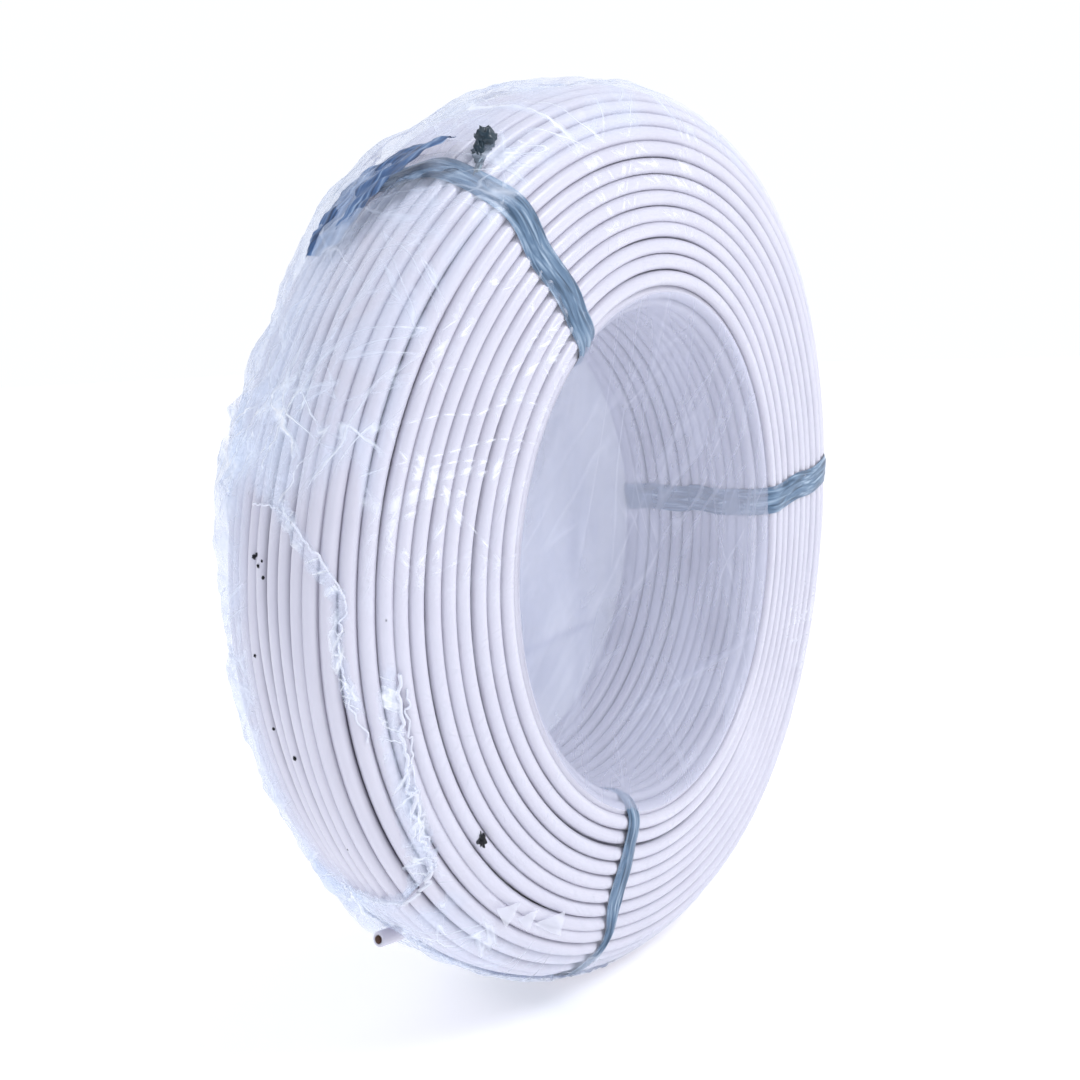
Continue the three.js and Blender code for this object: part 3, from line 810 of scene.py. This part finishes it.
flap("flap_left", ((222, 16.6, 1.6), (226, 15.4, 0.2), (227, 17.2, 0.2)))
flap("flap_right", ((235, 14.6, 1.8), (231, 16.2, 0.2), (238, 16.4, 0.2)))
flap("flap_low", ((229.5, 15.2, 1.2), (227.5, 16.4, 0.2), (231, 16.8, 0.3)))

# %% [markdown]
# The bare stretch of the rim ends in a torn, rolled edge of film: ropes and threads a few tenths of a
# millimetre thick, and narrow crumpled bands. A thread is a thin tube along the winding with a little unrest,
# and a band is a strip of the gathered film whose points are lifted by noise.

# %% Rolled edges and threads
white_film, tree = new_material("rolled_film_edge")
rolled = add(tree, "BsdfPrincipled",
             {"Base Color": linear("#F4F6FF"), "Roughness": 0.25, "IOR": 1.5, "Alpha": 0.8})
add(tree, "OutputMaterial", None, {"Surface": (rolled, "BSDF")})
THREAD_SIDES = 6


def thread(name, stations, thickness, unrest, seed, count=120):
    """A thin tube through stations of angle, turn and lift."""
    line = smooth_line(stations, count)
    for i in range(count):
        for axis, size in ((0, unrest / 1.9), (1, unrest / 3.8), (2, unrest * 0.4)):
            line[i, axis] += size * noise.noise(Vector((i * 0.22, axis * 5.0, seed)))
    line[:, 2] = np.maximum(line[:, 2], 0.1)
    middle = on_winding(line[:, 0], line[:, 1], line[:, 2])
    ahead = np.gradient(middle, axis=0)
    ahead /= np.linalg.norm(ahead, axis=1, keepdims=True)
    side = np.cross(ahead, np.array([0.3, 0.8, 0.5]))
    side /= np.linalg.norm(side, axis=1, keepdims=True)
    other = np.cross(ahead, side)
    spin = np.arange(THREAD_SIDES) * np.pi / 3
    size = np.array([thickness / 2 * (1 + 0.5 * noise.noise(Vector((i * 0.15, seed, 2.0))))
                     for i in range(count)])
    rings = side[:, None] * np.cos(spin)[None, :, None] + other[:, None] * np.sin(spin)[None, :, None]
    tube = middle[:, None] + rings * (size * MM)[:, None, None]
    piece = mesh_piece(name, tube.reshape(-1, 3), grid_faces(count, THREAD_SIDES, False, True), white_film)
    return piece


def crumpled(name, stations, seed, count=150, material=gathered, milk=0.14):
    """A narrow crumpled band of film through stations of angle, turn, lift, width and width direction."""
    line = smooth_line(stations, count)
    rows = 15
    across = np.linspace(-1, 1, rows)
    angle, turn, lift, width, way = (line[:, k][:, None] for k in range(5))
    edge = np.array([1 + 0.6 * noise.noise(Vector((i * 0.17, seed, 0.0))) for i in range(count)])[:, None]
    half = width / 2 * across[None, :] * edge
    grid_angle = angle + half * np.cos(np.radians(way)) / RIM_RADIUS * 180 / np.pi
    grid_turn = turn + half * np.sin(np.radians(way)) / TURN_PITCH
    crease = np.array([[folded((across[j] * 2.2 + seed, i * 0.21, seed)) for j in range(rows)]
                       for i in range(count)])
    height = np.maximum(lift + 0.9 * crease, 0.12)
    chart = np.stack([grid_angle * CM_PER_DEGREE, grid_turn * CM_PER_TURN], -1)
    ends = span(np.arange(count), 4, count - 4, 8)[:, None]
    piece = mesh_piece(name, on_winding(grid_angle, grid_turn, height).reshape(-1, 3),
                       grid_faces(count, rows), material, chart=chart,
                       gather=np.full(half.shape, 0.9), milk=np.full(half.shape, milk),
                       cover=np.broadcast_to(ends, half.shape) * (1 - 0.6 * np.abs(across)[None, :] ** 2))
    without_bounces(piece)
    return piece


crumpled("film_band_face",
         [(182, 16.6, 0.8, 3.5, 90), (191, 17.0, 1.0, 4.5, 90), (198.5, 17.2, 1.0, 5.5, 90),
          (206, 17.7, 1.0, 6, 90), (210.5, 18.4, 1.2, 7, 70), (213, 20.4, 1.4, 7, 20),
          (213.5, 22.5, 1.4, 6, 5), (215, 25, 1.6, 6, 0), (217, 28, 1.4, 6, 0)], 4.0, 260)
# Painted shade: the band along the underside is film coloured dark blue-grey, as it looks in shadow.
shaded_film = film_material("film_in_shade", "#74819E", "#C9D2E6", 0.35, 0.3, 0.4, 0.35)
crumpled("film_band_under",
         [(222, 27.0, 0.8, 3, 90), (229, 25.4, 1.0, 6, 85), (237, 23.6, 0.8, 7, 80),
          (245, 21.8, 0.6, 7, 80), (252, 20.4, 0.5, 6, 80), (259, 19.8, 0.4, 4, 80)], 24.0, 200,
         shaded_film, 0.25)
crumpled("film_band_upper",
         [(164, 25.5, 0.9, 3.0, 0), (165.5, 22.9, 1.0, 4.0, 20), (170, 20.6, 0.8, 3.5, 60),
          (175, 18.9, 0.8, 3, 80), (180, 19.0, 0.6, 2.5, 90), (188, 18.4, 0.5, 3.0, 90)], 14.0, 170)
thread("film_edge_upper",
       [(166, 25.5, 0.4), (166.5, 22.6, 0.5), (170, 20.2, 0.6), (175, 18.6, 0.5), (179, 18.9, 0.3),
        (184, 18.8, 0.3), (191, 18.2, 0.3)], 0.45, 1.2, 1.0)
thread("film_edge_face",
       [(184, 16.0, 0.5), (191, 16.4, 0.5), (198.5, 16.9, 0.6), (206, 17.4, 0.6), (210.5, 17.9, 0.6),
        (213, 19.3, 0.8), (213.5, 21.5, 0.8), (215, 24, 0.8), (217, 27, 1.0)], 0.9, 1.6, 2.0, 160)
thread("film_edge_face_second",
       [(186, 15.7, 0.4), (194, 16.2, 0.6), (202, 16.9, 0.5), (209, 17.6, 0.5), (212, 18.6, 0.6)],
       0.5, 1.8, 5.0, 120)

# %% [markdown]
# A pale seamless floor and soft white light: a bright room behind, a big bank in front and above, and a dim
# left and front side, which is why the rim at the left is darker than the face. The floor is matt painted
# board that glows a little, so that it stays white as in the photograph.

# %% The studio
floor_stuff, tree = new_material("pale_floor")
paint = add(tree, "BsdfPrincipled", {"Base Color": linear("#FCFCFD"), "Roughness": 0.9,
            "Emission Color": linear("#FFFFFF"), "Emission Strength": 0.26})
add(tree, "OutputMaterial", None, {"Surface": (paint, "BSDF")})
mesh = bpy.data.meshes.new("floor")
REACH, DROP = 6, -0.0005
corners = [(-REACH, -REACH, DROP), (REACH, -REACH, DROP), (REACH, REACH, DROP), (-REACH, REACH, DROP)]
mesh.from_pydata(corners, [], [(0, 1, 2, 3)])
mesh.materials.append(floor_stuff)
floor = bpy.data.objects.new("floor", mesh)
bpy.context.scene.collection.objects.link(floor)

world = bpy.data.worlds.new("white_room")
world.use_nodes = True
tree = world.node_tree
tree.nodes.clear()
where = add(tree, "TexCoord")
dim_side = add(tree, "VectorMath", {"operation": "DOT_PRODUCT", 1: (-0.84, -0.52, 0.12)},
               {0: (where, "Generated")})
light = add(tree, "MapRange", {"From Min": 0.0, "From Max": 0.85, "To Min": 1.08, "To Max": 0.34},
            {"Value": (dim_side, "Value")})
room = add(tree, "Background", {"Color": linear("#F6F8FF")}, {"Strength": (light, "Result")})
add(tree, "OutputWorld", None, {"Surface": (room, "Background")})
bpy.context.scene.world = world


def soft_light(name, place, target, size, power, colour):
    """A square soft light that looks at a point."""
    data = bpy.data.lights.new(name, "AREA")
    data.shape = "SQUARE"
    data.size = size
    data.energy = power
    data.color = linear(colour)[:3]
    lamp = bpy.data.objects.new(name, data)
    lamp.location = place
    lamp.rotation_euler = (Vector(target) - Vector(place)).to_track_quat("-Z", "Y").to_euler()
    bpy.context.scene.collection.objects.link(lamp)


soft_light("front_bank", (0.15, -0.75, 0.9), (0, 0, 0.11), 0.35, 4.6, "#F4F7FF")
soft_light("left_strip", (-0.9, -0.1, 0.5), (0, 0, 0.11), 0.25, 1.0, "#CFE0FF")
bpy.context.scene.view_settings.view_transform = "Standard"
